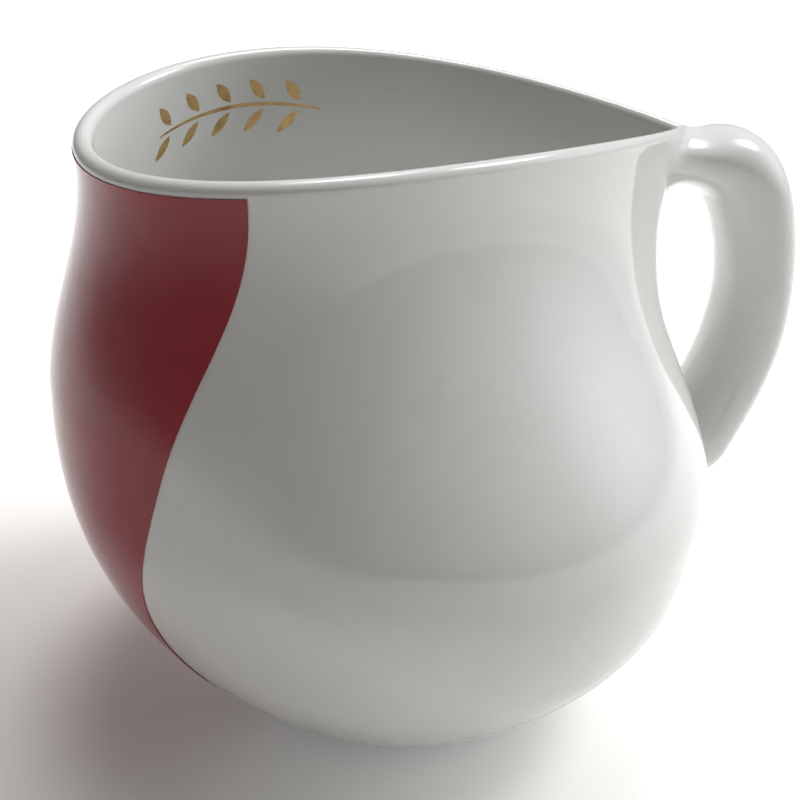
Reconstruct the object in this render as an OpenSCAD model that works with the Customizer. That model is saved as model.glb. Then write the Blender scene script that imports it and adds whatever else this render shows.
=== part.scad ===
// Pot-bellied porcelain mug with a drop-shaped, gently waved mouth and a strap handle.
// Millimetres, +Z up, origin on the table under the middle of the foot ring.
// +X points to the handle, -X to the front, and the XZ plane halves pot and handle.

/* [Pot] */
// Height of the lip at the front and at the handle
mug_h = 88; // [82:0.5:96]
// Extra height of the lip at its two sides
lip_arch = 5; // [0:0.5:8]
// Thickness of the wall and of the rounded lip
wall = 2.6; // [2:0.1:4]
// Thickness of the wall where it meets the floor
heel_wall = 5; // [3:0.1:7]
// Thickness of the floor
floor_t = 4.5; // [3:0.5:7]
// Rounding between floor and wall inside
floor_fillet = 6; // [3:0.5:9]
// Radius of the pot where it leaves the foot ring
base_r = 26; // [22:0.5:30]
// Fullness of the bowl under the belly, where 2 is a parabola
bowl_power = 2.5; // [2:0.1:3]

/* [Front profile] */
// Radius of the belly at the front
belly_front_r = 52; // [48:0.5:56]
// Height of the belly at the front
belly_front_z = 53; // [45:0.5:58]
// Radius of the neck at the front
neck_front_r = 47; // [43:0.5:50]
// Depth of the front neck below the lip
neck_front_drop = 6; // [4:0.5:14]
// Radius of the lip at the front
lip_front_r = 47.5; // [45:0.5:52]

/* [Handle side profile] */
// Radius of the belly under the handle
belly_back_r = 46; // [43:0.5:50]
// Height of the belly under the handle
belly_back_z = 37; // [32:0.5:42]
// Radius of the neck at the handle
neck_back_r = 38; // [35:0.5:41]
// Depth of the handle side's neck below the lip
neck_back_drop = 21; // [16:0.5:26]
// Radius of the lip at its cusp
lip_back_r = 41; // [39:0.5:44]

/* [Mouth] */
// Half width of the mouth from side to side
mouth_half_w = 33; // [30:0.5:38]
// How sharply the mouth runs to a point at the handle, where 0 is round
mouth_point = 0.8; // [0:0.05:0.9]
// Height from which the round belly turns into the drop-shaped mouth
mouth_from_z = 39; // [30:1:50]

/* [Foot ring] */
// Height of the foot ring
foot_h = 2; // [1.5:0.1:4]
// Width of the ring that stands on the table
foot_w = 4; // [3:0.5:6]
// Step from the pot's base in to the foot ring
foot_step = 3; // [2:0.1:4]
// Bevel on the ring's ground edges
foot_bevel = 0.5; // [0.2:0.1:0.7]

/* [Handle] */
// Clear finger room between the neck and the strap
finger_room = 13.5; // [12.5:0.5:17]
// Width of the strap at its outermost point
strap_w = 17; // [15:0.5:19]
// Width of the strap at its upper root
upper_root_w = 12.5; // [11:0.5:14]
// Width of the strap at its lower root
lower_root_w = 17; // [15:0.5:19]
// Thickness of the strap at its outermost point
strap_t = 9.6; // [8.5:0.1:11]
// Thickness of the strap at its upper root
upper_root_t = 9.5; // [8:0.25:10.5]
// Thickness of the strap at its lower root
lower_root_t = 9.4; // [8:0.2:10.4]
// Height of the strap's upper root over the lip's cusp, which is below 0 where it lies lower
strap_rise = -0.4; // [-1:0.1:0]
// Upward set of the strap's outer face where it leaves the upper root
outer_lift = 2.3; // [1:0.1:3]
// Reach of that upward set, as a share of the way out
outer_crown = 0.78; // [0.66:0.02:0.86]
// Downward set of the strap's inner face where it leaves the upper root
inner_dip = 2.7; // [1.5:0.1:4]
// Reach of that downward set, as a share of the way out
inner_crown = 0.38; // [0.3:0.02:0.5]
// Fullness of the outer face's shoulder over the outermost point
outer_shoulder = 0.53; // [0.46:0.01:0.6]
// Fullness of the inner face's shoulder over the outermost point
inner_shoulder = 0.38; // [0.3:0.02:0.46]
// Height of the strap's outermost point
strap_mid_z = 59.5; // [58:0.5:62]
// Height of the strap's lower end
strap_low_z = 36; // [34.5:0.25:38]
// Fullness of the strap's heel between its outermost point and the belly
strap_heel = 0.42; // [0.36:0.02:0.5]
// Roundness of the strap's section, where 1 is an ellipse
strap_round = 0.9; // [0.7:0.05:1]

/* [Slip seams] */
// Reach of the upper seam from the lip's cusp to the strap
upper_slip_l = 3.5; // [2.5:0.5:6]
// Reach of the lower seam from the belly to the middle of the strap
lower_slip_l = 3.5; // [3:0.5:6]
// Half height of the upper seam on the pot
upper_seat_half = 3.5; // [3:0.25:4]
// Half height of the lower seam on the pot
lower_seat_half = 7; // [6:0.5:8]
// Drop from the strap's lower end to the middle of the lower seam on the pot
lower_seat_drop = 4.5; // [2:0.5:6]
// Half width of the upper seam on the pot, in degrees of turn
upper_seat_turn = 31; // [28:1:36]
// Half width of the lower seam on the pot, in degrees of turn
lower_seat_turn = 11.5; // [10:0.5:14]
// Sharpness of a seam's flare onto the pot, where 1 is straight
seam_flare = 1.4; // [1:0.1:2]

/* [Red field] */
// Turn of the field's near edge at the lip, in degrees from the handle
field_high_turn = 231.7; // [220:0.1:240]
// Turn of the field's near edge at the base
field_low_turn = 209; // [200:1:220]
// Height below which the edge stops swaying
sway_low_z = 24; // [15:1:35]
// Depth below the lip at which the edge stops swaying
sway_high_drop = 6; // [2:1:14]
// Turn that the field covers, round the front to the far side
field_span = 140; // [90:5:150]
// Bare edge between the rounded lip and the top of the field
field_drop = 0.4; // [0.2:0.1:2]
// Thickness of the fired enamel
enamel_t = 0.25; // [0.15:0.05:0.4]

/* [Gold sprig] */
// Turn of the sprig's middle on the inner wall, in degrees from the handle
sprig_turn = 115; // [100:1:130]
// Depth of the sprig below the lip
sprig_drop = 8; // [7:0.5:14]
// Length of the sprig's stem
sprig_l = 30; // [20:1:36]
// Bow of the stem
sprig_bow = 1.4; // [0:0.1:2]
// Thickness of the drawn stem
stem_w = 0.6; // [0.4:0.1:1]
// Pairs of leaves
leaf_pairs = 5; // [3:1:6]
// Length of a leaf
leaf_l = 4.2; // [3:0.1:5]
// Width of a leaf
leaf_w = 1.7; // [1.2:0.1:2]
// Thickness of the gold
gold_t = 0.15; // [0.1:0.05:0.3]

/* [Hidden] */

// Gap that keeps a fired-on or luted piece off the facets under it
seat_gap = 0.1;
// Counts of facets
pot_sides = 64;
outer_rows = 30;
inner_rows = 22;
lip_rows = 6;
fillet_rows = 4;
strap_sides = 24;
strap_rows = 36;
seat_rows = 4;
slip_rows = 4;
field_rows = 30;
field_cols = 26;
stem_rows = 24;
leaf_rows = 6;
foot_sides = 96;
// Gap between the stem and a leaf
leaf_gap = 0.2;
// Width of a leaf's two ends
leaf_end_w = 0.15;
// Lean of a leaf from the stem, in degrees
leaf_lean = 48;
// Place of a pair of leaves within its share of the stem
leaf_place = 0.6;

// Heights and widths that follow from the sizes above
lip_r = wall / 2;
brim_z = mug_h - lip_r;
neck_front_z = mug_h - neck_front_drop;
neck_back_z = mug_h - neck_back_drop;
mouth_half_l = (lip_front_r + lip_back_r) / 2;
floor_z = foot_h + floor_t;
foot_r = base_r - foot_step;
strap_root_x = lip_back_r + upper_slip_l;
strap_in_x = neck_back_r + finger_room;
strap_mid_x = strap_in_x + strap_t / 2;
strap_out_x = strap_in_x + strap_t;
strap_top_z = mug_h + strap_rise;
upper_seat_z = brim_z - upper_seat_half - seat_gap;
lower_seat_z = strap_low_z - lower_seat_drop;

function clamp01(v) = min(max(v, 0), 1);
function ease(v) = let (c = clamp01(v)) c * c * (3 - 2 * c);
function squared(v) = sign(v) * pow(abs(v), strap_round);
function unit(v) = v / norm(v);

// Radius of one side of the pot at height z: a full bowl, a swept shoulder and a flared neck
function profile(z, belly_r, belly_z, neck_r, neck_z, lip_edge_r) =
    z < belly_z
        ? base_r + (belly_r - base_r) * (1 - pow((belly_z - z) / (belly_z - foot_h), bowl_power))
        : z < neck_z
            ? neck_r + (belly_r - neck_r) * (1 + cos(180 * (z - belly_z) / (neck_z - belly_z))) / 2
            : neck_r + (lip_edge_r - neck_r) * pow((z - neck_z) / (brim_z - neck_z), 2);
function front_r(z) = profile(z, belly_front_r, belly_front_z, neck_front_r, neck_front_z, lip_front_r);
function back_r(z) = profile(z, belly_back_r, belly_back_z, neck_back_r, neck_back_z, lip_back_r);

// Greatest value of sin(turn) * sin(turn / 2) ^ point, which scales the drop to its width
function drop_peak(point) = 2 * pow((point + 1) / (point + 2), (point + 1) / 2) / sqrt(point + 2);

// Point of the pot's surface at a level and a turn, set in from the outside
function pot(z, turn, inset = 0) =
    let (
        front = front_r(z),
        back = back_r(z),
        half_l = (front + back) / 2,
        share = ease((z - mouth_from_z) / (brim_z - mouth_from_z)),
        half_w = half_l + share * (mouth_half_w - half_l),
        point = mouth_point * share * share
    )
    [
        (back - front) / 2 + (half_l - inset) * cos(turn),
        (half_w - inset) * sin(turn) * pow(abs(sin(turn / 2)), point) / drop_peak(point),
        z + share * lip_arch * pow(sin(turn), 2)
    ];
function inner_inset(z) = wall + (heel_wall - wall) * pow(1 - clamp01(z / belly_back_z), 2);

// Closed skin over rings of equal count, with a fan from a middle point at each end
module skin(rings, first, last) {
    count = len(rings[0]);
    rows = len(rings);
    points = concat([first], [for (ring = rings) each ring], [last]);
    function at(i, j) = 1 + i * count + j % count;
    sides = [
        for (i = [0 : rows - 2], j = [0 : count - 1])
            each [[at(i, j), at(i + 1, j), at(i + 1, j + 1)], [at(i, j), at(i + 1, j + 1), at(i, j + 1)]]
    ];
    ends = [
        for (j = [0 : count - 1])
            each [[0, at(0, j), at(0, j + 1)], [at(rows - 1, j), len(points) - 1, at(rows - 1, j + 1)]]
    ];
    polyhedron(points, concat(sides, ends));
}

// Closed plate between two grids of equal size, the first one on the side that shows
module plate(face, back) {
    rows = len(face);
    cols = len(face[0]);
    shift = rows * cols;
    points = concat([for (row = face) each row], [for (row = back) each row]);
    function at(i, j) = i * cols + j;
    grids = [
        for (i = [0 : rows - 2], j = [0 : cols - 2])
            let (a = at(i, j), b = at(i, j + 1), c = at(i + 1, j + 1), d = at(i + 1, j))
            each [[a, d, c], [a, c, b], [a + shift, c + shift, d + shift], [a + shift, b + shift, c + shift]]
    ];
    function strip(p, q) = [[p, q, q + shift], [p, q + shift, p + shift]];
    low = [for (j = [0 : cols - 2]) each strip(at(0, j), at(0, j + 1))];
    high = [for (j = [0 : cols - 2]) each strip(at(rows - 1, j + 1), at(rows - 1, j))];
    near = [for (i = [0 : rows - 2]) each strip(at(i + 1, 0), at(i, 0))];
    far = [for (i = [0 : rows - 2]) each strip(at(i, cols - 1), at(i + 1, cols - 1))];
    polyhedron(points, concat(grids, low, high, near, far));
}

function pot_ring(z, inset, lift = 0) =
    [for (k = [0 : pot_sides - 1]) pot(z, 360 * k / pot_sides, inset) + [0, 0, lift]];

// Porcelain pot: up the outside, over the rounded lip, down the inside and across the floor
module body() {
    wall_foot_z = floor_z + floor_fillet;
    outside = [for (i = [0 : outer_rows]) pot_ring(foot_h + (brim_z - foot_h) * i / outer_rows, 0)];
    lip = [
        for (i = [1 : lip_rows - 1])
            let (a = 180 * i / lip_rows)
            pot_ring(brim_z, lip_r * (1 - cos(a)), lip_r * sin(a))
    ];
    inside = [
        for (i = [0 : inner_rows])
            let (z = brim_z + (wall_foot_z - brim_z) * i / inner_rows)
            pot_ring(z, inner_inset(z))
    ];
    fillet = [
        for (i = [1 : fillet_rows])
            let (a = 90 * i / fillet_rows, z = floor_z + floor_fillet * (1 - sin(a)))
            pot_ring(z, inner_inset(z) + floor_fillet * (1 - cos(a)))
    ];
    color("whitesmoke") skin(concat(outside, lip, inside, fillet), [0, 0, foot_h], [0, 0, floor_z]);
}

// Ground ring that the mug stands on
module foot_ring() {
    inner_r = foot_r - foot_w;
    color("oldlace")
        rotate_extrude($fn = foot_sides)
            polygon([
                [inner_r, foot_h], [inner_r, foot_bevel], [inner_r + foot_bevel, 0],
                [foot_r - foot_bevel, 0], [foot_r, foot_bevel], [foot_r, foot_h]
            ]);
}

// Cubic sweep through control points, and its direction
function sweep(p, t) =
    pow(1 - t, 3) * p[0] + 3 * pow(1 - t, 2) * t * p[1] + 3 * (1 - t) * t * t * p[2] + pow(t, 3) * p[3];
function sweep_way(p, t) =
    unit(pow(1 - t, 2) * (p[1] - p[0]) + 2 * (1 - t) * t * (p[2] - p[1]) + t * t * (p[3] - p[2]));

// Sweep of one face of the strap, from its upper root over the shoulder down to the outermost point
function upper_face(root_z, out_x, crown, lift, shoulder) =
    [
        [strap_root_x, 0, root_z],
        [strap_root_x + (out_x - strap_root_x) * crown, 0, root_z + lift],
        [out_x, 0, strap_mid_z + (root_z - strap_mid_z) * shoulder],
        [out_x, 0, strap_mid_z]
    ];
outer_face = upper_face(strap_top_z, strap_out_x, outer_crown, outer_lift, outer_shoulder);
inner_face = upper_face(strap_top_z - upper_root_t, strap_in_x, inner_crown, -inner_dip, inner_shoulder);
// Sweep of the strap's middle from its outermost point in to the belly
lower_middle = [
    [strap_mid_x, 0, strap_mid_z],
    [strap_mid_x, 0, strap_mid_z - (strap_mid_z - strap_low_z) * strap_heel],
    [strap_in_x, 0, strap_low_z + lower_root_t / 2],
    [belly_back_r + lower_slip_l, 0, strap_low_z]
];

// Middle, half thickness and width at s, which is 0 at the cusp, 1 at the outermost point and 2 at the belly
function strap_mid(s) =
    s < 1 ? (sweep(outer_face, s) + sweep(inner_face, s)) / 2 : sweep(lower_middle, s - 1);
function lower_t(s) = strap_t + (lower_root_t - strap_t) * pow(s - 1, 3);
function strap_half(s) =
    s < 1
        ? (sweep(outer_face, s) - sweep(inner_face, s)) / 2
        : let (way = sweep_way(lower_middle, s - 1)) [-way[2], 0, way[0]] * lower_t(s) / 2;
function strap_wide(s) = strap_w + ((s < 1 ? upper_root_w : lower_root_w) - strap_w) * pow(1 - s, 2);
function strap_ring(s) =
    let (mid = strap_mid(s), half_t = strap_half(s), half_w = strap_wide(s) / 2)
    [
        for (k = [0 : strap_sides - 1])
            let (a = 360 * k / strap_sides)
            mid + half_t * squared(sin(a)) + [0, half_w * squared(cos(a)), 0]
    ];

// Strap handle
module handle() {
    rings = [for (i = [0 : strap_rows]) strap_ring(2 * i / strap_rows)];
    color("white") skin(rings, strap_mid(0), strap_mid(2));
}

// Oval on the pot's outside, a share of a seam's seat, run the way up that the strap's rings run
function seat_ring(mid_z, half_z, half_turn, share, up) =
    [
        for (k = [0 : strap_sides - 1])
            let (a = 360 * k / strap_sides)
            pot(mid_z + up * share * half_z * sin(a), share * half_turn * cos(a), -seat_gap)
    ];
// Ring of a seam between its seat and the strap, flared at the seat
function slip_ring(seat, strap, s) =
    [
        for (k = [0 : strap_sides - 1])
            let (flare = pow(1 - s, seam_flare), p = strap[k], q = seat[k])
            [q[0] + (p[0] - q[0]) * s, p[1] + (q[1] - p[1]) * flare, p[2] + (q[2] - p[2]) * flare]
    ];

// Collar of slip between the cusp of the lip and the strap
module upper_slip() {
    function seat(share) = seat_ring(upper_seat_z, upper_seat_half, upper_seat_turn, share, 1);
    seats = [for (i = [1 : seat_rows]) seat(i / seat_rows)];
    collar = [for (i = [1 : slip_rows]) slip_ring(seat(1), strap_ring(0), i / slip_rows)];
    color("gainsboro") skin(concat(seats, collar), pot(upper_seat_z, 0, -seat_gap), strap_mid(0));
}

// Collar of slip between the strap and the belly
module lower_slip() {
    function seat(share) = seat_ring(lower_seat_z, lower_seat_half, lower_seat_turn, share, -1);
    collar = [for (i = [0 : slip_rows - 1]) slip_ring(seat(1), strap_ring(2), 1 - i / slip_rows)];
    seats = [for (i = [0 : seat_rows - 1]) seat(1 - i / seat_rows)];
    color("gainsboro") skin(concat(collar, seats), strap_mid(2), pot(lower_seat_z, 0, -seat_gap));
}

// Near edge of the red field, which sways once between base and lip
function field_edge(z) =
    field_low_turn + (field_high_turn - field_low_turn)
        * ease((z - sway_low_z) / (mug_h - sway_high_drop - sway_low_z));

// Red colour field fired onto the outside, from the base up to the rounded lip
module red_enamel() {
    function field(inset) = [
        for (i = [0 : field_rows])
            let (z = foot_h + (brim_z - field_drop - foot_h) * i / field_rows, edge = field_edge(z))
            [for (j = [0 : field_cols]) pot(z, edge - field_span * (1 - j / field_cols), inset)]
    ];
    color("firebrick") plate(field(-seat_gap - enamel_t), field(-seat_gap));
}

// Point on the inner wall beside the sprig's middle: along the wall, up it and proud of it
sprig_z = brim_z - sprig_drop;
turn_per_mm = 180 / (PI * (mouth_half_l - wall));
function on_wall(p, proud) =
    let (z = sprig_z + p[1]) pot(z, sprig_turn + p[0] * turn_per_mm, inner_inset(z) + seat_gap + proud);
function stem_at(s) = [s, sprig_bow * (1 - pow(2 * s / sprig_l, 2))];

// Stroke of gold along a way on the wall, with its half width given at each row
module stroke(line, way, half_w) {
    across = [-way[1], way[0]];
    function grid(proud) = [
        for (i = [0 : len(line) - 1])
            [for (j = [-1 : 1]) on_wall(line[i] + across * j * half_w[i], proud)]
    ];
    plate(grid(gold_t), grid(0));
}

// Small gold sprig of paired leaves on the inner wall
module gold_sprig() {
    color("goldenrod") {
        stroke(
            [for (i = [0 : stem_rows]) stem_at(sprig_l * (i / stem_rows - 0.5))],
            [1, 0],
            [for (i = [0 : stem_rows]) stem_w / 2]
        );
        for (k = [0 : leaf_pairs - 1], side = [-1, 1]) {
            along = sprig_l * ((k + leaf_place) / leaf_pairs - 0.5);
            foot = stem_at(along) + [0, side * (stem_w + leaf_gap)];
            way = [cos(leaf_lean), side * sin(leaf_lean)];
            stroke(
                [for (i = [0 : leaf_rows]) foot + way * leaf_l * i / leaf_rows],
                way,
                [for (i = [0 : leaf_rows]) max(leaf_end_w, leaf_w * sin(180 * i / leaf_rows)) / 2]
            );
        }
    }
}

body();
foot_ring();
handle();
upper_slip();
lower_slip();
red_enamel();
gold_sprig();
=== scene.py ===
"""Porcelain mug with a waved, drop-shaped mouth, a strap handle, a red colour field and a gold sprig.

The classes keep their sizes in millimetres, as the CAD part does. The meshes are in metres and in the
CAD part's frame: +Z up, +X towards the handle, origin on the table under the foot ring.
"""

import logging
import math
from dataclasses import dataclass, field
from enum import Enum
from typing import Callable, Sequence

import bmesh
import bpy
from mathutils import Matrix, Vector


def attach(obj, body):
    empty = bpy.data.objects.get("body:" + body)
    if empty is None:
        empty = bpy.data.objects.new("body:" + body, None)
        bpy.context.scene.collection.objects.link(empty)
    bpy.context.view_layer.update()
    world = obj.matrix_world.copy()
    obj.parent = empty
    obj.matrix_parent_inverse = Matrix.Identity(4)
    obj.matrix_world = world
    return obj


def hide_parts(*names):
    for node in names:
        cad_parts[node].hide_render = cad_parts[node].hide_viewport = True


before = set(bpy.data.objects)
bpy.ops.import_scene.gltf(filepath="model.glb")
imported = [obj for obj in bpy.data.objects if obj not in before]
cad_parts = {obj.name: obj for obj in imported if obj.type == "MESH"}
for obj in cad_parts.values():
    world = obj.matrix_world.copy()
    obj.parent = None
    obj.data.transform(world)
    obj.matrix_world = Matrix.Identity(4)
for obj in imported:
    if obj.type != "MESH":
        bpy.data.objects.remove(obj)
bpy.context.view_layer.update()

LOG = logging.getLogger("mug")
MM = 0.001
NOISE_SPAN = (0.3, 0.7)
ROOT = "root"

Ring = list[Vector]
Span = tuple[float, float]
Triple = tuple[float, float, float]
Colour = Triple


class Slot(Enum):
    """The record's material slots."""

    PORCELAIN = "porcelain"
    BARE = "bare_porcelain"
    RED = "red_enamel"
    GOLD = "gold"


class Root(Enum):
    """The two ends of the strap handle, with the sense in which its outer face runs up the pot."""

    UPPER = 1
    LOWER = -1


def clamp(value: float) -> float:
    """Return the value held between 0 and 1."""
    return min(max(value, 0.0), 1.0)


def ease(value: float) -> float:
    """Return a smooth step from 0 to 1."""
    return clamp(value) ** 2 * (3.0 - 2.0 * clamp(value))


def bezier(ctrl: Sequence[Vector], share: float) -> Vector:
    """Point on a cubic curve.

    Args:
        ctrl: Its four control points.
        share: Place along the curve, from 0 to 1.

    Returns:
        The point.
    """
    rest = 1.0 - share
    weights = (rest ** 3, 3.0 * rest ** 2 * share, 3.0 * rest * share ** 2, share ** 3)
    return sum((w * p for w, p in zip(weights, ctrl)), Vector())


def bezier_way(ctrl: Sequence[Vector], share: float) -> Vector:
    """Direction of a cubic curve.

    Args:
        ctrl: Its four control points.
        share: Place along the curve, from 0 to 1.

    Returns:
        The unit tangent.
    """
    rest = 1.0 - share
    weights = (rest ** 2, 2.0 * rest * share, share ** 2)
    steps = (ctrl[1] - ctrl[0], ctrl[2] - ctrl[1], ctrl[3] - ctrl[2])
    return sum((w * d for w, d in zip(weights, steps)), Vector()).normalized()


def outwards(azimuth: float, elevation: float) -> Vector:
    """Direction from the object to a place round it.

    Args:
        azimuth: Degrees from the front, -Y, towards +X.
        elevation: Degrees up.

    Returns:
        The unit vector.
    """
    turn = math.radians(azimuth)
    rise = math.radians(elevation)
    return Vector((math.sin(turn) * math.cos(rise), -math.cos(turn) * math.cos(rise), math.sin(rise)))


class Bench:
    """Modelling steps that several pieces share, each done with Blender's own operators."""

    @staticmethod
    def clear() -> None:
        """Deselect everything, so that an operator acts on the new piece alone."""
        bpy.ops.object.select_all(action="DESELECT")

    @staticmethod
    def start(name: str) -> bpy.types.Object:
        """Name the primitive that was just added and open it for editing.

        Args:
            name: The piece's name.

        Returns:
            The piece, in edit mode with vertices as the selection mode.
        """
        piece = bpy.context.object
        piece.name = name
        piece.data.name = name
        bpy.ops.object.mode_set(mode="EDIT")
        bpy.ops.mesh.select_mode(type="VERT")
        return piece

    @staticmethod
    def close(piece: bpy.types.Object, angle: float = 35.0) -> None:
        """Turn the faces outwards, leave edit mode and smooth the shading.

        Args:
            piece: The piece that is in edit mode.
            angle: Edges sharper than this many degrees stay sharp.
        """
        bpy.ops.mesh.select_all(action="SELECT")
        bpy.ops.mesh.normals_make_consistent(inside=False)
        bpy.ops.mesh.select_all(action="DESELECT")
        bpy.ops.object.mode_set(mode="OBJECT")
        Bench.clear()
        piece.select_set(True)
        bpy.context.view_layer.objects.active = piece
        bpy.ops.object.shade_smooth_by_angle(angle=math.radians(angle))

    @staticmethod
    def loft(name: str, rings: Sequence[Ring]) -> bpy.types.Object:
        """Skin a row of closed rings: a filled circle, extruded from ring to ring and closed at its end.

        Args:
            name: The piece's name.
            rings: Rings in metres, all with the same number of points.

        Returns:
            The closed piece.
        """
        sides = len(rings[0])
        Bench.clear()
        bpy.ops.mesh.primitive_circle_add(vertices=sides, radius=1.0, fill_type="TRIFAN")
        piece = Bench.start(name)
        mesh = bmesh.from_edit_mesh(piece.data)
        place = mesh.verts.layers.int.new("place")
        for vert in mesh.verts:
            on_rim = vert.co.length > 0.5
            vert[place] = round(math.atan2(vert.co.y, vert.co.x) / math.tau * sides) % sides
            vert.select_set(on_rim)
            if not on_rim:
                vert.co = sum(rings[0], Vector()) / sides
        mesh.select_flush_mode()
        Bench._settle(piece, rings[0])
        for ring in rings[1:]:
            bpy.ops.mesh.extrude_region_move()
            Bench._settle(piece, ring)
        bpy.ops.mesh.extrude_region_move()
        bpy.ops.mesh.merge(type="CENTER")
        mesh = bmesh.from_edit_mesh(piece.data)
        mesh.verts.layers.int.remove(mesh.verts.layers.int["place"])
        bmesh.update_edit_mesh(piece.data)
        Bench.close(piece)
        return piece

    @staticmethod
    def _settle(piece: bpy.types.Object, ring: Ring) -> None:
        """Set the selected loop of vertices on a ring.

        Args:
            piece: The piece that is in edit mode.
            ring: The points, by each vertex's place in its loop.
        """
        mesh = bmesh.from_edit_mesh(piece.data)
        place = mesh.verts.layers.int["place"]
        for vert in mesh.verts:
            if vert.select:
                vert.co = ring[vert[place]]
        bmesh.update_edit_mesh(piece.data)

    @staticmethod
    def sheet(name: str, cols: int, rows: int, at: Callable[[float, float], Vector]) -> bpy.types.Object:
        """Lay a grid over a surface.

        Args:
            name: The piece's name.
            cols: Faces along the sheet.
            rows: Faces up the sheet.
            at: The point for a share along and a share up, each from 0 to 1.

        Returns:
            The open sheet.
        """
        Bench.clear()
        bpy.ops.mesh.primitive_grid_add(x_subdivisions=cols, y_subdivisions=rows, size=1.0)
        piece = Bench.start(name)
        mesh = bmesh.from_edit_mesh(piece.data)
        for vert in mesh.verts:
            vert.co = at(vert.co.x + 0.5, vert.co.y + 0.5)
        bmesh.update_edit_mesh(piece.data)
        bpy.ops.object.mode_set(mode="OBJECT")
        return piece

    @staticmethod
    def thicken(piece: bpy.types.Object, thick: float) -> None:
        """Give a sheet its thickness on the side that its faces look to.

        Args:
            piece: The open sheet.
            thick: Thickness in metres.
        """
        Bench.clear()
        piece.select_set(True)
        bpy.context.view_layer.objects.active = piece
        solid = piece.modifiers.new("coat", "SOLIDIFY")
        solid.thickness = thick
        solid.offset = 1.0
        bpy.ops.object.modifier_apply(modifier=solid.name)
        bpy.ops.object.mode_set(mode="EDIT")
        Bench.close(piece, 60.0)

    @staticmethod
    def fit(piece: bpy.types.Object, slot: Slot, finish: bpy.types.Material, *nodes: str) -> None:
        """Dress a finished piece and set it in the frame.

        Args:
            piece: The finished piece.
            slot: The record's slot for its finish; not used.
            finish: Its material.
            nodes: The CAD nodes that it stands for.
        """
        piece.data.materials.clear()
        piece.data.materials.append(finish)
        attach(piece, ROOT)
        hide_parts(*nodes)
        LOG.info("%s: %d faces for %s", piece.name, len(piece.data.polygons), ", ".join(nodes))


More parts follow.
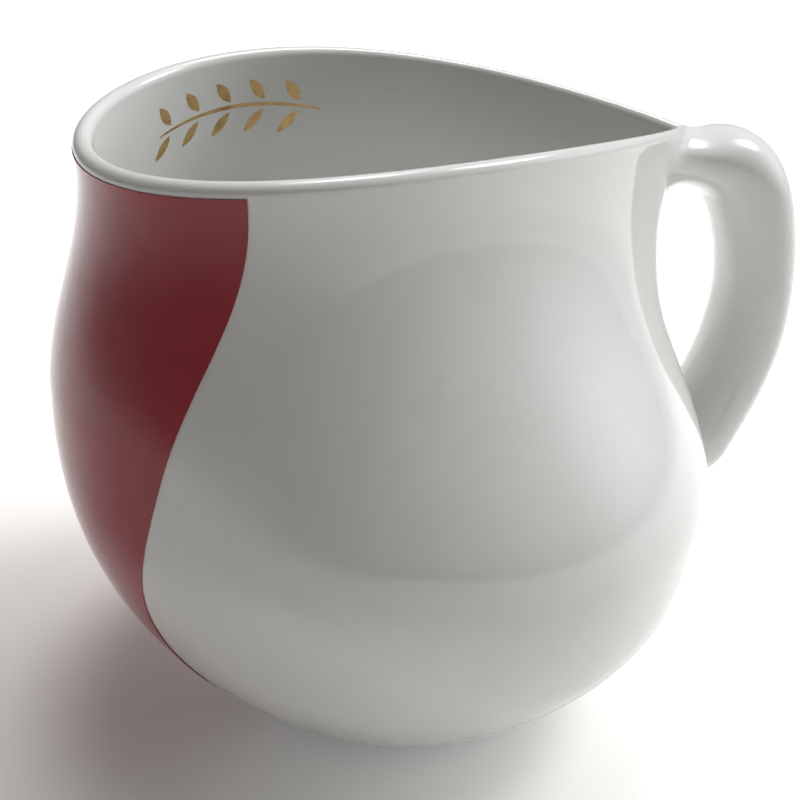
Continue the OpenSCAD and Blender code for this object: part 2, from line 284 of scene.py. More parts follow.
class Recipe:
    """A new node material on Object coordinates, with short ways to add its nodes."""

    def __init__(self, name: str) -> None:
        """Start an empty material with a principled shader.

        Args:
            name: The material's name.
        """
        self.material = bpy.data.materials.new(name)
        self.material.use_nodes = True
        self.tree = self.material.node_tree
        self.shader = self.tree.nodes["Principled BSDF"]
        self.coords = self.tree.nodes.new("ShaderNodeTexCoord").outputs["Object"]

    def link(self, out: bpy.types.NodeSocket, into: bpy.types.NodeSocket) -> None:
        """Join two sockets."""
        self.tree.links.new(out, into)

    def noise(
        self, per_metre: float, detail: float = 3.0, stretch: Triple = (1.0, 1.0, 1.0)
    ) -> bpy.types.NodeSocket:
        """Add a noise on Object coordinates.

        Args:
            per_metre: Waves per metre.
            detail: Octaves of finer waves.
            stretch: Scale on each axis.

        Returns:
            The noise value.
        """
        mapping = self.tree.nodes.new("ShaderNodeMapping")
        mapping.inputs["Scale"].default_value = stretch
        noise = self.tree.nodes.new("ShaderNodeTexNoise")
        noise.inputs["Scale"].default_value = per_metre
        noise.inputs["Detail"].default_value = detail
        self.link(self.coords, mapping.inputs["Vector"])
        self.link(mapping.outputs["Vector"], noise.inputs["Vector"])
        return noise.outputs["Fac"]

    def spots(self, per_metre: float, size: float) -> bpy.types.NodeSocket:
        """Add small round spots, one in each cell of a scatter.

        Args:
            per_metre: Cells per metre.
            size: Share of a cell that the spot takes.

        Returns:
            1 inside a spot and 0 outside.
        """
        cells = self.tree.nodes.new("ShaderNodeTexVoronoi")
        cells.inputs["Scale"].default_value = per_metre
        self.link(self.coords, cells.inputs["Vector"])
        return self.span(cells.outputs["Distance"], (size, size * 0.5), (0.0, 1.0))

    def far_from(self, place: Triple) -> bpy.types.NodeSocket:
        """Measure how far the surface is from a place.

        Args:
            place: The place in metres.

        Returns:
            The distance.
        """
        node = self.tree.nodes.new("ShaderNodeVectorMath")
        node.operation = "DISTANCE"
        node.inputs[1].default_value = place
        self.link(self.coords, node.inputs[0])
        return node.outputs["Value"]

    def along(self, axis: str) -> bpy.types.NodeSocket:
        """Pick one of the three coordinates.

        Args:
            axis: X, Y or Z.

        Returns:
            The coordinate in metres.
        """
        node = self.tree.nodes.new("ShaderNodeSeparateXYZ")
        self.link(self.coords, node.inputs["Vector"])
        return node.outputs[axis]

    def span(
        self, value: bpy.types.NodeSocket, source: Span, target: Span
    ) -> bpy.types.NodeSocket:
        """Map a value smoothly from one range onto another, held at its ends.

        Args:
            value: The value.
            source: Its range.
            target: The new range.

        Returns:
            The mapped value.
        """
        node = self.tree.nodes.new("ShaderNodeMapRange")
        node.interpolation_type = "SMOOTHSTEP"
        node.inputs["From Min"].default_value = source[0]
        node.inputs["From Max"].default_value = source[1]
        node.inputs["To Min"].default_value = target[0]
        node.inputs["To Max"].default_value = target[1]
        self.link(value, node.inputs["Value"])
        return node.outputs["Result"]

    def times(self, first: bpy.types.NodeSocket, second: bpy.types.NodeSocket) -> bpy.types.NodeSocket:
        """Multiply two values.

        Args:
            first: One value.
            second: The other.

        Returns:
            The product.
        """
        node = self.tree.nodes.new("ShaderNodeMath")
        node.operation = "MULTIPLY"
        self.link(first, node.inputs[0])
        self.link(second, node.inputs[1])
        return node.outputs["Value"]

    def blend(
        self, share: bpy.types.NodeSocket, first: Colour | bpy.types.NodeSocket, second: Colour
    ) -> bpy.types.NodeSocket:
        """Mix two colours.

        Args:
            share: How much of the second shows.
            first: The first colour, or a socket that gives it.
            second: The second colour.

        Returns:
            The mixed colour.
        """
        node = self.tree.nodes.new("ShaderNodeMix")
        node.data_type = "RGBA"
        colours = [socket for socket in node.inputs if socket.type == "RGBA"]
        if isinstance(first, tuple):
            colours[0].default_value = (*first, 1.0)
        else:
            self.link(first, colours[0])
        colours[1].default_value = (*second, 1.0)
        self.link(share, node.inputs["Factor"])
        return next(socket for socket in node.outputs if socket.type == "RGBA")

    def bump(self, height: bpy.types.NodeSocket, strength: float, depth: float) -> None:
        """Let a height ripple the surface.

        Args:
            height: The height value.
            strength: Share of the effect.
            depth: Height of the ripple in metres.
        """
        node = self.tree.nodes.new("ShaderNodeBump")
        node.inputs["Strength"].default_value = strength
        node.inputs["Distance"].default_value = depth
        self.link(height, node.inputs["Height"])
        self.link(node.outputs["Normal"], self.shader.inputs["Normal"])

    def set(self, socket: str, value: float | tuple[float, ...] | bpy.types.NodeSocket) -> None:
        """Set a socket of the shader, or link it.

        Args:
            socket: The socket's name.
            value: A number or colour that is the same all over, or a socket to link.
        """
        if isinstance(value, bpy.types.NodeSocket):
            self.link(value, self.shader.inputs[socket])
        else:
            self.shader.inputs[socket].default_value = value


@dataclass(frozen=True)
class ClearGlaze:
    """White porcelain under a clear glaze that pooled a little unevenly."""

    pale: Colour = (0.87, 0.875, 0.855)
    deep: Colour = (0.83, 0.83, 0.805)
    speck: Colour = (0.5, 0.44, 0.36)
    pools: float = 38.0
    pool_span: Span = (0.35, 0.68)
    speck_cells: float = 300.0
    speck_size: float = 0.07
    speck_groups: float = 55.0
    speck_group_span: Span = (0.6, 0.68)
    speck_strength: float = 0.35
    gloss_waves: float = 90.0
    roughness: Span = (0.02, 0.06)
    ior: float = 1.56
    ripples: float = 75.0
    ripple_share: float = 0.12
    ripple_depth: float = 0.0006

    def material(self) -> bpy.types.Material:
        """Mix the glaze: soft tone, rare pinpoint specks and a faint ripple.

        Returns:
            The material.
        """
        recipe = Recipe("clear_glaze")
        tone = recipe.span(recipe.noise(self.pools, 4.0), self.pool_span, (0.0, 1.0))
        groups = recipe.noise(self.speck_groups, 1.0)
        rare = recipe.span(groups, self.speck_group_span, (0.0, self.speck_strength))
        specks = recipe.times(recipe.spots(self.speck_cells, self.speck_size), rare)
        recipe.set("Base Color", recipe.blend(specks, recipe.blend(tone, self.pale, self.deep), self.speck))
        gloss = recipe.noise(self.gloss_waves, 2.0)
        recipe.set("Roughness", recipe.span(gloss, NOISE_SPAN, self.roughness))
        recipe.set("IOR", self.ior)
        recipe.bump(recipe.noise(self.ripples, 2.0), self.ripple_share, self.ripple_depth)
        return recipe.material


@dataclass(frozen=True)
class RedEnamel:
    """Dark red enamel fired onto the glaze, with the slight cloud of a hand-laid coat."""

    full: Colour = (0.34, 0.024, 0.037)
    thin: Colour = (0.42, 0.036, 0.049)
    clouds: float = 42.0
    cloud_stretch: Triple = (1.0, 1.0, 0.55)
    cloud_span: Span = (0.32, 0.7)
    gloss_waves: float = 160.0
    roughness: Span = (0.07, 0.14)
    ior: float = 1.43
    ripples: float = 110.0
    ripple_share: float = 0.15
    ripple_depth: float = 0.0006

    def material(self) -> bpy.types.Material:
        """Mix the enamel: clouded colour, glossy with a soft ripple.

        Returns:
            The material.
        """
        recipe = Recipe("red_enamel_coat")
        cloud = recipe.span(recipe.noise(self.clouds, 5.0, self.cloud_stretch), self.cloud_span, (0.0, 1.0))
        recipe.set("Base Color", recipe.blend(cloud, self.full, self.thin))
        gloss = recipe.noise(self.gloss_waves, 3.0)
        recipe.set("Roughness", recipe.span(gloss, NOISE_SPAN, self.roughness))
        recipe.set("IOR", self.ior)
        recipe.bump(recipe.noise(self.ripples, 2.0), self.ripple_share, self.ripple_depth)
        return recipe.material


@dataclass(frozen=True)
class BrushedGold:
    """Fired gold, laid on with a brush and worn a little on its high spots."""

    bright: Colour = (0.83, 0.58, 0.27)
    worn: Colour = (0.52, 0.32, 0.14)
    thin_places: float = 420.0
    thin_span: Span = (0.45, 0.75)
    wear: float = 0.8
    gloss_waves: float = 900.0
    roughness: Span = (0.26, 0.45)
    marks: float = 1600.0
    mark_share: float = 0.2
    mark_depth: float = 0.0001

    def material(self) -> bpy.types.Material:
        """Mix the gold: metal with brush marks and thin places.

        Returns:
            The material.
        """
        recipe = Recipe("brushed_gold")
        worn = recipe.span(recipe.noise(self.thin_places, 4.0), self.thin_span, (0.0, self.wear))
        recipe.set("Base Color", recipe.blend(worn, self.bright, self.worn))
        recipe.set("Metallic", 1.0)
        gloss = recipe.noise(self.gloss_waves, 2.0)
        recipe.set("Roughness", recipe.span(gloss, NOISE_SPAN, self.roughness))
        recipe.bump(recipe.noise(self.marks, 2.0), self.mark_share, self.mark_depth)
        return recipe.material


@dataclass(frozen=True)
class GroundPorcelain:
    """Bare porcelain of the foot, ground flat after firing."""

    pale: Colour = (0.8, 0.78, 0.74)
    grey: Colour = (0.62, 0.59, 0.54)
    grains: float = 2600.0
    dust_span: Span = (0.4, 0.75)
    roughness: Span = (0.7, 0.9)
    grain_share: float = 0.3
    grain_depth: float = 0.0001

    def material(self) -> bpy.types.Material:
        """Mix the bare body: matte, with fine grinding grain.

        Returns:
            The material.
        """
        recipe = Recipe("ground_porcelain")
        grain = recipe.noise(self.grains, 3.0)
        dust = recipe.span(grain, self.dust_span, (0.0, 1.0))
        recipe.set("Base Color", recipe.blend(dust, self.pale, self.grey))
        recipe.set("Roughness", recipe.span(grain, NOISE_SPAN, self.roughness))
        recipe.bump(grain, self.grain_share, self.grain_depth)
        return recipe.material


@dataclass(frozen=True)
class SideLine:
    """The pot's outline on one side: its radius at the belly, neck and lip, and their heights."""

    belly_r: float
    belly_z: float
    neck_r: float
    neck_z: float
    lip_r: float


@dataclass(frozen=True)
class PotForm:
    """The pot's outer and inner surface, by the same formula as the CAD part's.

    The skin stays a hair, shy, under the CAD part's, so that it never stands out of its box.
    """

    mug_h: float = 88.0
    lip_arch: float = 5.0
    wall: float = 2.6
    heel_wall: float = 5.0
    floor_t: float = 4.5
    floor_fillet: float = 6.0
    base_r: float = 26.0
    bowl_power: float = 2.5
    foot_h: float = 2.0
    mouth_half_w: float = 33.0
    mouth_point: float = 0.8
    mouth_from_z: float = 39.0
    shy: float = 0.05
    front: SideLine = SideLine(52.0, 53.0, 47.0, 82.0, 47.5)
    back: SideLine = SideLine(46.0, 37.0, 38.0, 67.0, 41.0)

    @property
    def bead(self) -> float:
        """Radius of the rounded lip."""
        return self.wall / 2.0

    @property
    def brim_z(self) -> float:
        """Height at which the lip's rounding starts."""
        return self.mug_h - self.bead

    @property
    def floor_z(self) -> float:
        """Height of the cup's floor."""
        return self.foot_h + self.floor_t

    @property
    def mouth_half_l(self) -> float:
        """Half the length of the mouth."""
        return (self.front.lip_r + self.back.lip_r) / 2.0

    def radius(self, side: SideLine, z: float) -> float:
        """Outer radius on one side.

        Args:
            side: The front or the back outline.
            z: Height.

        Returns:
            The radius.
        """
        if z < side.belly_z:
            fall = ((side.belly_z - z) / (side.belly_z - self.foot_h)) ** self.bowl_power
            return self.base_r + (side.belly_r - self.base_r) * (1.0 - fall)
        if z < side.neck_z:
            swing = math.cos(math.pi * (z - side.belly_z) / (side.neck_z - side.belly_z))
            return side.neck_r + (side.belly_r - side.neck_r) * (1.0 + swing) / 2.0
        flare = ((z - side.neck_z) / (self.brim_z - side.neck_z)) ** 2
        return side.neck_r + (side.lip_r - side.neck_r) * flare

    def at(self, z: float, turn: float, inset: float = 0.0) -> Vector:
        """Point on the pot.

        Args:
            z: Height before the lip's wave lifts it.
            turn: Degrees round the pot, 0 at the handle and 180 at the front.
            inset: Depth under the outer surface.

        Returns:
            The point in millimetres.
        """
        front = self.radius(self.front, z)
        back = self.radius(self.back, z)
        half_l = (front + back) / 2.0
        share = ease((z - self.mouth_from_z) / (self.brim_z - self.mouth_from_z))
        half_w = half_l + share * (self.mouth_half_w - half_l)
        depth = inset + self.shy
        point = self.mouth_point * share ** 2
        peak = 2.0 * ((point + 1.0) / (point + 2.0)) ** ((point + 1.0) / 2.0) / math.sqrt(point + 2.0)
        angle = math.radians(turn)
        side = math.sin(angle) * abs(math.sin(angle / 2.0)) ** point / peak
        lift = share * self.lip_arch * math.sin(angle) ** 2
        along = (back - front) / 2.0 + (half_l - depth) * math.cos(angle)
        return Vector((along, (half_w - depth) * side, z + lift))

    def over_lip(self, climb: float, turn: float, inset: float = 0.0) -> Vector:
        """Point on the outer surface, going on over the rounded lip.

        Args:
            climb: Height on the wall, and from the brim on the length of the lip's rounding.
            turn: Degrees round the pot.
            inset: Depth under the surface.

        Returns:
            The point in millimetres.
        """
        if climb <= self.brim_z:
            return self.at(climb, turn, inset)
        bend = (climb - self.brim_z) / self.bead
        bead = self.bead - inset
        crest = self.at(self.brim_z, turn, self.bead - bead * math.cos(bend))
        return crest + Vector((0.0, 0.0, bead * math.sin(bend)))

    def inner_inset(self, z: float) -> float:
        """Return the wall's thickness, which grows towards the heel."""
        return self.wall + (self.heel_wall - self.wall) * (1.0 - clamp(z / self.back.belly_z)) ** 2


@dataclass
class GlazedBody:
    """The slip-cast pot: heel, belly, neck, rounded lip, inside and floor in one skin."""

    form: PotForm
    sides: int = 160
    outer_rows: int = 84
    lip_rows: int = 14
    inner_rows: int = 60
    fillet_rows: int = 12
    floor_rows: int = 6
    underside: Triple = (0.35, 0.7, 0.94)
    name: str = "glazed_body"

    def ring(self, at: Callable[[float], Vector]) -> Ring:
        """Points of one ring.

        Args:
            at: The point in millimetres for a turn in degrees.

        Returns:
            The ring in metres.
        """
        return [at(360.0 * k / self.sides) * MM for k in range(self.sides)]

    def rings(self) -> list[Ring]:
        """Lay out all rings, from the underside over the lip to the middle of the floor.

        Returns:
            The rings in metres.
        """
        form = self.form
        made: list[Ring] = []
        for share in self.underside:
            made.append(self.ring(lambda turn: self.towards_axis(form.at(form.foot_h, turn), share)))
        for row in range(self.outer_rows + 1):
            z = form.foot_h + (form.brim_z - form.foot_h) * row / self.outer_rows
            made.append(self.ring(lambda turn: form.at(z, turn)))
        for row in range(1, self.lip_rows + 1):
            climb = form.brim_z + form.bead * math.pi * row / self.lip_rows
            made.append(self.ring(lambda turn: form.over_lip(climb, turn)))
        fillet_z = form.floor_z + form.floor_fillet
        for row in range(1, self.inner_rows + 1):
            z = form.brim_z + (fillet_z - form.brim_z) * row / self.inner_rows
            made.append(self.ring(lambda turn: form.at(z, turn, form.inner_inset(z))))
        for row in range(1, self.fillet_rows + 1):
            bend = math.pi / 2.0 * row / self.fillet_rows
            z = form.floor_z + form.floor_fillet * (1.0 - math.sin(bend))
            inset = form.inner_inset(z) + form.floor_fillet * (1.0 - math.cos(bend))
            made.append(self.ring(lambda turn: form.at(z, turn, inset)))
        rim = made[-1]
        for row in range(1, self.floor_rows):
            share = 1.0 - row / self.floor_rows
            made.append([self.towards_axis(point, share) for point in rim])
        return made

    @staticmethod
    def towards_axis(point: Vector, share: float) -> Vector:
        """Return the point moved level towards the axis, to a share of its distance."""
        return Vector((point.x * share, point.y * share, point.z))

    def build(self, finish: bpy.types.Material) -> None:
        """Model the pot and set it in the frame.

        Args:
            finish: The glaze.
        """
        Bench.fit(Bench.loft(self.name, self.rings()), Slot.PORCELAIN, finish, "body")


@dataclass
class FootRing:
    """The ring that the mug stands on, wiped free of glaze and ground flat."""

    form: PotForm
    outer_r: float = 23.0
    width: float = 4.0
    bevel: float = 0.5
    bevel_steps: int = 5
    steps: int = 160
    name: str = "ground_foot_ring"

    def build(self, finish: bpy.types.Material) -> None:
        """Spin the ring's section round the axis.

        Args:
            finish: The bare body.
        """
        height = self.form.foot_h * MM
        middle = Vector((self.outer_r - self.width / 2.0, 0.0, 0.0)) * MM
        Bench.clear()
        bpy.ops.mesh.primitive_plane_add(size=1.0)
        piece = Bench.start(self.name)
        bpy.ops.mesh.select_all(action="SELECT")
        bpy.ops.transform.resize(value=(self.width * MM, height, 1.0))
        mesh = bmesh.from_edit_mesh(piece.data)
        for vert in mesh.verts:
            vert.co = middle + Vector((vert.co.x, 0.0, vert.co.y + height / 2.0))
            vert.select_set(vert.co.z < height / 2.0)
        mesh.select_flush_mode()
        bmesh.update_edit_mesh(piece.data)
        bpy.ops.mesh.bevel(offset=self.bevel * MM, segments=self.bevel_steps, affect="VERTICES")
        bpy.ops.mesh.select_all(action="SELECT")
        bpy.ops.mesh.delete(type="ONLY_FACE")
        bpy.ops.mesh.select_all(action="SELECT")
        bpy.ops.mesh.spin(steps=self.steps, angle=math.tau, center=(0.0, 0.0, 0.0), axis=(0.0, 0.0, 1.0))
        bpy.ops.mesh.select_all(action="SELECT")
        bpy.ops.mesh.remove_doubles(threshold=1e-6)
        Bench.close(piece)
        Bench.fit(piece, Slot.BARE, finish, "foot_ring")


@dataclass
class StrapHandle:
    """The strap handle and the two collars of slip that join it to the pot."""

    form: PotForm
    finger_room: float = 13.5
    width: float = 17.0
    upper_root_w: float = 12.5
    lower_root_w: float = 17.0
    thick: float = 9.6
    upper_root_t: float = 9.5
    lower_root_t: float = 9.4
    rise: float = -0.4
    outer_lift: float = 2.3
    outer_crown: float = 0.78
    inner_dip: float = 2.7
    inner_crown: float = 0.38
    outer_shoulder: float = 0.53
    inner_shoulder: float = 0.38
    mid_z: float = 59.5
    low_z: float = 36.0
    heel: float = 0.42
    roundness: float = 0.9
    upper_reach: float = 3.5
    lower_reach: float = 3.5
    upper_seat_climb: float = 83.9
    upper_seat_rise: float = 4.7
    upper_seat_drop: float = 6.5
    upper_seat_turn: float = 31.0
    lower_seat_z: float = 31.5
    lower_seat_half: float = 7.0
    lower_seat_turn: float = 11.5
    upper_cut: float = 0.1
    lower_cut: float = 1.93
    lead: float = 0.38
    sink: float = 0.6
    sunk_share: float = 0.94
    seat_step: float = 0.02
    strap_step: float = 0.01
    sides: int = 72
    strap_rows: int = 96
    collar_rows: int = 18
    outer: list[Vector] = field(init=False)
    inner: list[Vector] = field(init=False)
    low: list[Vector] = field(init=False)

    def __post_init__(self) -> None:
        """Lay out the strap's curves: its two faces down to the outermost point, then its middle line."""
        in_x = self.form.back.neck_r + self.finger_room
        mid_x = in_x + self.thick / 2.0
        top_z = self.form.mug_h + self.rise
        under_z = top_z - self.upper_root_t
        out_x = in_x + self.thick
        self.outer = self.face(top_z, out_x, self.outer_crown, self.outer_lift, self.outer_shoulder)
        self.inner = self.face(under_z, in_x, self.inner_crown, -self.inner_dip, self.inner_shoulder)
        self.low = [
            Vector((mid_x, 0.0, self.mid_z)),
            Vector((mid_x, 0.0, self.mid_z - (self.mid_z - self.low_z) * self.heel)),
            Vector((in_x, 0.0, self.low_z + self.lower_root_t / 2.0)),
            Vector((self.form.back.belly_r + self.lower_reach, 0.0, self.low_z)),
        ]

    def face(self, root_z: float, out_x: float, crown: float, lift: float, shoulder: float) -> list[Vector]:
        """Curve of one face of the strap, from its upper root down to the outermost point.

        Args:
            root_z: Height of the face at the root.
            out_x: Its outermost place.
            crown: Share of the way out that the curve first keeps to its set.
            lift: Upward set of the curve at the root.
            shoulder: Fullness over the outermost point.

        Returns:
            The curve's control points.
        """
        root_x = self.form.back.lip_r + self.upper_reach
        return [
            Vector((root_x, 0.0, root_z)),
            Vector((root_x + (out_x - root_x) * crown, 0.0, root_z + lift)),
            Vector((out_x, 0.0, self.mid_z + (root_z - self.mid_z) * shoulder)),
            Vector((out_x, 0.0, self.mid_z)),
        ]

    def section(self, s: float) -> tuple[Vector, Vector]:
        """Middle of the strap's section and the way from there to its outer face.

        Args:
            s: Place along the strap: 0 at the lip, 1 at the outermost point, 2 at the belly.

        Returns:
            The two vectors in millimetres.
        """
        if s < 1.0:
            outer = bezier(self.outer, s)
            inner = bezier(self.inner, s)
            return (outer + inner) / 2.0, (outer - inner) / 2.0
        way = bezier_way(self.low, s - 1.0)
        thick = self.thick + (self.lower_root_t - self.thick) * (s - 1.0) ** 3
        return bezier(self.low, s - 1.0), Vector((-way.z, 0.0, way.x)) * (thick / 2.0)

    def breadth(self, s: float) -> float:
        """Return the strap's width at a place along it."""
        root = self.upper_root_w if s < 1.0 else self.lower_root_w
        return self.width + (root - self.width) * (1.0 - s) ** 2

    def squared(self, value: float) -> float:
        """Return a sine or cosine pulled towards a rounded rectangle."""
        return math.copysign(abs(value) ** self.roundness, value)

    def strap_point(self, s: float, k: int) -> Vector:
        """Point on the strap's skin.

        Args:
            s: Place along the strap, from 0 to 2.
            k: Place round its section.

        Returns:
            The point in millimetres.
        """
        angle = math.tau * k / self.sides
        middle, out = self.section(s)
        half_t = (out.length - self.form.shy) * self.squared(math.sin(angle))
        half_w = (self.breadth(s) / 2.0 - self.form.shy) * self.squared(math.cos(angle))
        return middle + out.normalized() * half_t + Vector((0.0, half_w, 0.0))

    def seat_point(self, root: Root, k: int, share: float, inset: float = 0.0) -> Vector:
        """Point on the pot under a collar.

        Args:
            root: The end of the strap.
            k: Place round the section.
            share: Distance from the middle of the seat, 1 at its edge.
            inset: Depth under the pot's surface.

        Returns:
            The point in millimetres.
        """
        angle = math.tau * k / self.sides
        if root is Root.UPPER:
            middle, turn = self.upper_seat_climb, self.upper_seat_turn
            half = self.upper_seat_rise if k < self.sides / 2 else self.upper_seat_drop
        else:
            middle, half, turn = self.lower_seat_z, self.lower_seat_half, self.lower_seat_turn
        climb = middle + root.value * share * half * math.sin(angle)
        return self.form.over_lip(climb, share * turn * math.cos(angle), inset)

    def collar_rings(self, root: Root) -> list[Ring]:
        """Rings of one collar, from inside the pot's wall to the strap.

        Args:
            root: The end of the strap.

        Returns:
            The rings in metres.
        """
        cut = self.upper_cut if root is Root.UPPER else self.lower_cut
        curves = []
        for k in range(self.sides):
            foot = self.seat_point(root, k, 1.0)
            inwards = (self.seat_point(root, k, 1.0 - self.seat_step) - foot).normalized()
            strap = self.strap_point(cut, k)
            onwards = (self.strap_point(cut + root.value * self.strap_step, k) - strap).normalized()
            reach = (strap - foot).length * self.lead
            curves.append((foot, foot + inwards * reach, strap - onwards * reach, strap))
        rings = [[self.seat_point(root, k, self.sunk_share, self.sink) * MM for k in range(self.sides)]]
        for row in range(self.collar_rows + 1):
            rings.append([bezier(curve, row / self.collar_rows) * MM for curve in curves])
        return rings

    def build(self, finish: bpy.types.Material) -> None:
        """Model the strap and its collars and set them in the frame.

        Args:
            finish: The glaze.
        """
        step = (self.lower_cut - self.upper_cut) / self.strap_rows
        stops = [self.upper_cut + step * row for row in range(self.strap_rows + 1)]
        rings = [[self.strap_point(s, k) * MM for k in range(self.sides)] for s in stops]
        Bench.fit(Bench.loft("glazed_handle", rings), Slot.PORCELAIN, finish, "handle")
        upper = Bench.loft("upper_slip_collar", self.collar_rings(Root.UPPER))
        Bench.fit(upper, Slot.PORCELAIN, finish, "upper_slip")
        lower = Bench.loft("lower_slip_collar", self.collar_rings(Root.LOWER))
        Bench.fit(lower, Slot.PORCELAIN, finish, "lower_slip")


@dataclass
class RedField:
    """The red colour field, a thin coat that sweeps round the outside in an S line."""

    form: PotForm
    high_turn: float = 231.7
    low_turn: float = 209.0
    sway_low_z: float = 24.0
    sway_high_drop: float = 6.0
    span: float = 140.0
    drop: float = 0.4
    gap: float = 0.04
    coat: float = 0.12
    cols: int = 110
    rows: int = 110
    name: str = "red_field"

    def edge(self, z: float) -> float:
        """Turn of the near edge.

        Args:
            z: Height.

        Returns:
            Degrees round the pot.
        """
        high_z = self.form.mug_h - self.sway_high_drop
        share = ease((z - self.sway_low_z) / (high_z - self.sway_low_z))
        return self.low_turn + (self.high_turn - self.low_turn) * share

    def at(self, along: float, up: float) -> Vector:
        """Point on the field's underside.

        Args:
            along: Share from the far edge to the near one.
            up: Share from the foot to the lip.

        Returns:
            The point in metres.
        """
        z = self.form.foot_h + (self.form.brim_z - self.drop - self.form.foot_h) * up
        return self.form.at(z, self.edge(z) - self.span * (1.0 - along), -self.gap) * MM

    def build(self, finish: bpy.types.Material) -> None:
        """Lay the field on the pot and give it its thickness.

        Args:
            finish: The enamel.
        """
        piece = Bench.sheet(self.name, self.cols, self.rows, self.at)
        Bench.thicken(piece, self.coat * MM)
        Bench.fit(piece, Slot.RED, finish, "red_enamel")


@dataclass
class GoldSprig:
    """A small gold sprig inside the far wall: a bowed stem with leaves in pairs."""

    form: PotForm
    turn: float = 115.0
    drop: float = 8.0
    length: float = 30.0
    bow: float = 1.4
    stem_w: float = 0.6
    stem_tip: float = 0.35
    stem_fullness: float = 0.7
    stem_grid: tuple[int, int] = (60, 2)
    leaf_pairs: int = 5
    leaf_l: float = 4.2
    leaf_w: float = 1.7
    leaf_gap: float = 0.2
    leaf_lean: float = 48.0
    leaf_place: float = 0.6
    leaf_tip: float = 0.1
    leaf_fullness: float = 0.85
    leaf_grid: tuple[int, int] = (16, 6)
    gap: float = 0.04
    coat: float = 0.08
    name: str = "gold_sprig_gilt"

    def on_wall(self, point: Vector) -> Vector:
        """Point on the inner wall.

        Args:
            point: Place in the flat sprig: along the stem, and up.

        Returns:
            The point in metres.
        """
        z = self.form.brim_z - self.drop + point.y
        per_mm = 180.0 / (math.pi * (self.form.mouth_half_l - self.form.wall))
        return self.form.at(z, self.turn + point.x * per_mm, self.form.inner_inset(z) + self.gap) * MM

    def stem_at(self, along: float) -> Vector:
        """Return the stem's middle line, in the flat sprig."""
        return Vector((along, self.bow * (1.0 - (2.0 * along / self.length) ** 2), 0.0))

    def stem(self, along: float, up: float) -> Vector:
        """Point of the stem, which thins towards its ends.

        Args:
            along: Share along the stem.
            up: Share across it.

        Returns:
            The point in metres.
        """
        swell = math.sin(math.pi * along) ** self.stem_fullness
        wide = self.stem_w * (self.stem_tip + (1.0 - self.stem_tip) * swell)
        middle = self.stem_at(self.length * (along - 0.5))
        return self.on_wall(middle + Vector((0.0, wide * (up - 0.5), 0.0)))

    def leaf(self, start: Vector, way: Vector) -> Callable[[float, float], Vector]:
        """Shape of one leaf.

        Args:
            start: Where it leaves the stem, in the flat sprig.
            way: Its direction there.

        Returns:
            The leaf's point in metres for a share along and a share across.
        """
        across = Vector((-way.y, way.x, 0.0))

        def at(along: float, over: float) -> Vector:
            """Return a point of the leaf, on the wall."""
            wide = max(self.leaf_tip, self.leaf_w * math.sin(math.pi * along) ** self.leaf_fullness)
            return self.on_wall(start + way * (self.leaf_l * along) + across * (wide * (over - 0.5)))

        return at

    def build(self, finish: bpy.types.Material) -> None:
        """Brush the stem and the leaves onto the wall.

        Args:
            finish: The gold.
        """
        strokes = [Bench.sheet(self.name, *self.stem_grid, self.stem)]
        lean = math.radians(self.leaf_lean)
        for pair in range(self.leaf_pairs):
            root = self.stem_at(self.length * ((pair + self.leaf_place) / self.leaf_pairs - 0.5))
            for side in (-1.0, 1.0):
                start = root + Vector((0.0, side * (self.stem_w + self.leaf_gap), 0.0))
                way = Vector((math.cos(lean), side * math.sin(lean), 0.0))
                strokes.append(Bench.sheet("gilt_leaf", *self.leaf_grid, self.leaf(start, way)))
        Bench.clear()
        for stroke in strokes:
            stroke.select_set(True)
        bpy.context.view_layer.objects.active = strokes[0]
        bpy.ops.object.join()
        Bench.thicken(strokes[0], self.coat * MM)
        Bench.fit(strokes[0], Slot.GOLD, finish, "gold_sprig")


@dataclass(frozen=True)
class Lamp:
    """A large soft lamp: the direction and distance that it hangs at, its size, power and colour."""

    name: str
    turn: float
    rise: float
    far: float
    size: Span
    power: float
    colour: Colour

    def hang(self, middle: Vector) -> None:
        """Hang the lamp so that it looks at the mug.

        Args:
            middle: The place that it looks at, in metres.
        """
        way = outwards(self.turn, self.rise)
        Bench.clear()
        bpy.ops.object.light_add(type="AREA", location=middle + way * self.far)
        lamp = bpy.context.object
        lamp.name = self.name
        lamp.rotation_euler = way.to_track_quat("Z", "Y").to_euler()
        lamp.data.shape = "RECTANGLE"
        lamp.data.size, lamp.data.size_y = self.size
        lamp.data.energy = self.power
        lamp.data.color = self.colour
        self.soften(lamp.data)

    @staticmethod
    def soften(light: bpy.types.AreaLight) -> None:
        """Let an area lamp fade towards its edges, as light through a curtain does.

        Args:
            light: The lamp's data.
        """
        light.use_nodes = True
        tree = light.node_tree
        place = tree.nodes.new("ShaderNodeNewGeometry")
        parts = tree.nodes.new("ShaderNodeSeparateXYZ")
        both = tree.nodes.new("ShaderNodeMath")
        both.operation = "MULTIPLY"
        tree.links.new(place.outputs["Parametric"], parts.inputs["Vector"])
        for axis, factor in zip(("X", "Y"), both.inputs):
            fade = tree.nodes.new("ShaderNodeMath")
            fade.operation = "PINGPONG"
            fade.inputs[1].default_value = 0.5
            ramp = tree.nodes.new("ShaderNodeMapRange")
            ramp.interpolation_type = "SMOOTHSTEP"
            ramp.inputs["From Max"].default_value = 0.5
            tree.links.new(parts.outputs[axis], fade.inputs[0])
            tree.links.new(fade.outputs["Value"], ramp.inputs["Value"])
            tree.links.new(ramp.outputs["Result"], factor)
        tree.links.new(both.outputs["Value"], tree.nodes["Emission"].inputs["Strength"])


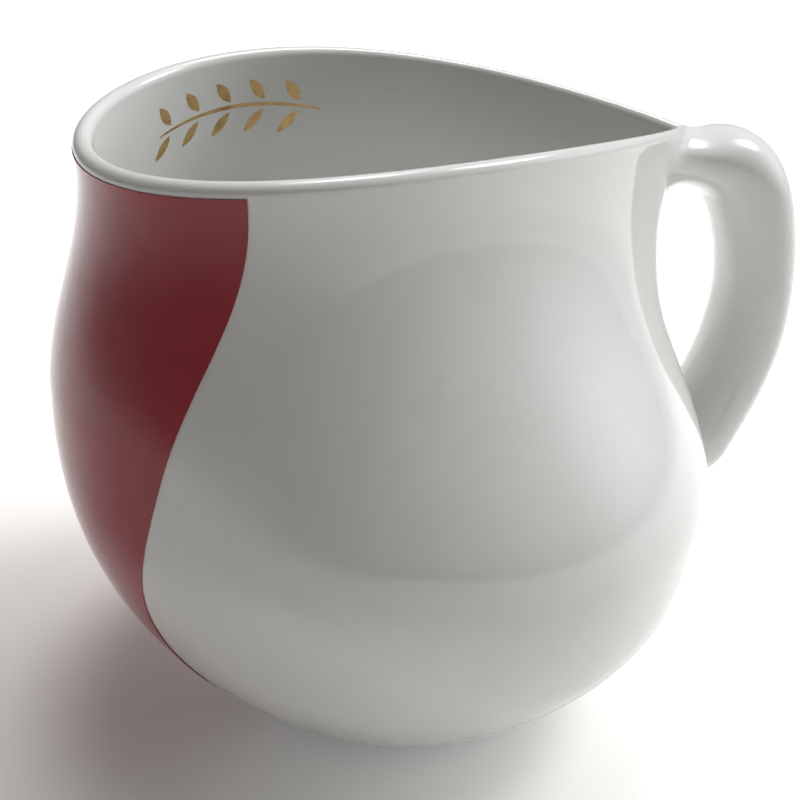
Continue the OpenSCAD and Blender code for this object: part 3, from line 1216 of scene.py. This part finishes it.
@dataclass
class Studio:
    """Floor, room light, soft lamps and the camera at the photograph's angle."""

    azimuth: float = -18.527
    elevation: float = 26.637
    distance: float = 204.406
    roll: float = 3.7
    target: Triple = (-1.078, 0.0, 46.685)
    lens: float = 60.75
    sensor: float = 36.0
    nearest: float = 0.005
    floor_size: float = 8.0
    floor_pale: Colour = (0.9, 0.885, 0.865)
    # Painted shade: the floor's colour and glow are painted darker towards -X, over light_end, as a
    # fall-off of light away from the lamps.
    floor_painted_shade: Colour = (0.6, 0.59, 0.575)
    # The floor's glow: painted low round shade_middle, a painted shadow where the mug's own shadow falls,
    # and full away from it.
    floor_glow: Span = (0.1, 0.65)
    painted_falloff_glow: float = 0.1
    shade_middle: Span = (-0.09, -0.03)
    shade_reach: Span = (0.04, 0.2)
    light_end: Span = (-0.5, -0.08)
    room_dim: Colour = (0.08, 0.074, 0.068)
    room_far: Colour = (0.28, 0.285, 0.285)
    room_pale_turn: float = 120.0
    room_pale_rise: float = 12.0
    room_fade: Span = (0.0, 0.8)
    lamps: tuple[Lamp, ...] = (
        Lamp("window", 82.0, 17.0, 0.8, (1.1, 0.7), 3.8, (0.95, 0.98, 1.0)),
        Lamp("skylight", 90.0, 51.0, 0.8, (0.5, 0.5), 12.0, (0.98, 0.99, 1.0)),
        Lamp("overhead", 165.0, 74.0, 0.8, (0.6, 0.6), 12.5, (1.0, 1.0, 1.0)),
    )

    def lay_floor(self) -> None:
        """Lay a pale floor, white to the eye and in reflections, that keeps the mug's shadow.

        Its light is painted: it falls off towards -X, away from the lamps, and dips round the mug's shadow.
        """
        Bench.clear()
        bpy.ops.mesh.primitive_plane_add(size=self.floor_size)
        floor = bpy.context.object
        floor.name = "pale_floor"
        recipe = Recipe("pale_floor")
        across = recipe.along("X")
        # Painted fall-off of light: the colour runs from the painted shade at -X to the pale floor.
        near = recipe.span(across, self.light_end, (0.0, 1.0))
        # Painted shadow: the glow is held low round the middle of the mug's shadow.
        painted_shadow_glow = recipe.span(recipe.far_from((*self.shade_middle, 0.0)), self.shade_reach, self.floor_glow)
        # The glow is painted lower towards -X as well, a painted fall-off of light.
        glow = recipe.times(painted_shadow_glow, recipe.span(across, self.light_end, (self.painted_falloff_glow, 1.0)))
        recipe.set("Base Color", recipe.blend(near, self.floor_painted_shade, self.floor_pale))
        recipe.set("Roughness", 1.0)
        recipe.set("Specular IOR Level", 0.0)
        recipe.set("Emission Color", (1.0, 1.0, 1.0, 1.0))
        recipe.set("Emission Strength", recipe.times(glow, self.seen(recipe)))
        floor.data.materials.append(recipe.material)

    @staticmethod
    def seen(recipe: Recipe) -> bpy.types.NodeSocket:
        """Value that is 1 to the eye and in reflections and 0 for the light that the floor throws back.

        Args:
            recipe: The floor's material.

        Returns:
            The value.
        """
        path = recipe.tree.nodes.new("ShaderNodeLightPath")
        value = path.outputs["Is Camera Ray"]
        for ray in ("Is Glossy Ray", "Is Transmission Ray"):
            either = recipe.tree.nodes.new("ShaderNodeMath")
            either.operation = "MAXIMUM"
            recipe.link(value, either.inputs[0])
            recipe.link(path.outputs[ray], either.inputs[1])
            value = either.outputs["Value"]
        return value

    def light_room(self) -> None:
        """Light the room: dim and warm at the front left, pale at the back right, where the window is."""
        world = bpy.data.worlds.new("room")
        bpy.context.scene.world = world
        world.use_nodes = True
        tree = world.node_tree
        sky = tree.nodes["Background"]
        coords = tree.nodes.new("ShaderNodeTexCoord")
        facing = tree.nodes.new("ShaderNodeVectorMath")
        facing.operation = "DOT_PRODUCT"
        facing.inputs[1].default_value = outwards(self.room_pale_turn, self.room_pale_rise)
        ramp = tree.nodes.new("ShaderNodeValToRGB")
        colours = (self.room_dim, self.room_far)
        for stop, place, colour in zip(ramp.color_ramp.elements, self.room_fade, colours):
            stop.position = place
            stop.color = (*colour, 1.0)
        tree.links.new(coords.outputs["Generated"], facing.inputs[0])
        tree.links.new(facing.outputs["Value"], ramp.inputs["Fac"])
        tree.links.new(ramp.outputs["Color"], sky.inputs["Color"])

    def place_camera(self) -> None:
        """Put the camera at the photograph's angle, with its slight roll."""
        back = outwards(self.azimuth, self.elevation)
        turn = math.radians(self.azimuth)
        level = Vector((math.cos(turn), math.sin(turn), 0.0))
        upright = back.cross(level)
        tilt = math.radians(self.roll)
        right = math.cos(tilt) * level + math.sin(tilt) * upright
        up = math.cos(tilt) * upright - math.sin(tilt) * level
        eye = (Vector(self.target) + back * self.distance) * MM
        Bench.clear()
        bpy.ops.object.camera_add()
        camera = bpy.context.object
        camera.name = "photo_camera"
        camera.matrix_world = Matrix.Translation(eye) @ Matrix((right, up, back)).transposed().to_4x4()
        camera.data.sensor_width = self.sensor
        camera.data.lens = self.lens
        camera.data.clip_start = self.nearest
        bpy.context.scene.camera = camera

    def build(self) -> None:
        """Set up the floor, the light and the camera."""
        self.lay_floor()
        self.light_room()
        for lamp in self.lamps:
            lamp.hang(Vector(self.target) * MM)
        self.place_camera()
        bpy.context.scene.view_settings.view_transform = "Standard"


def main() -> None:
    """Build the mug piece by piece, then the studio round it."""
    logging.basicConfig(level=logging.INFO, format="%(name)s: %(message)s")
    form = PotForm()
    glaze = ClearGlaze().material()
    GlazedBody(form).build(glaze)
    FootRing(form).build(GroundPorcelain().material())
    StrapHandle(form).build(glaze)
    RedField(form).build(RedEnamel().material())
    GoldSprig(form).build(BrushedGold().material())
    Studio().build()


if __name__ == "__main__":
    main()
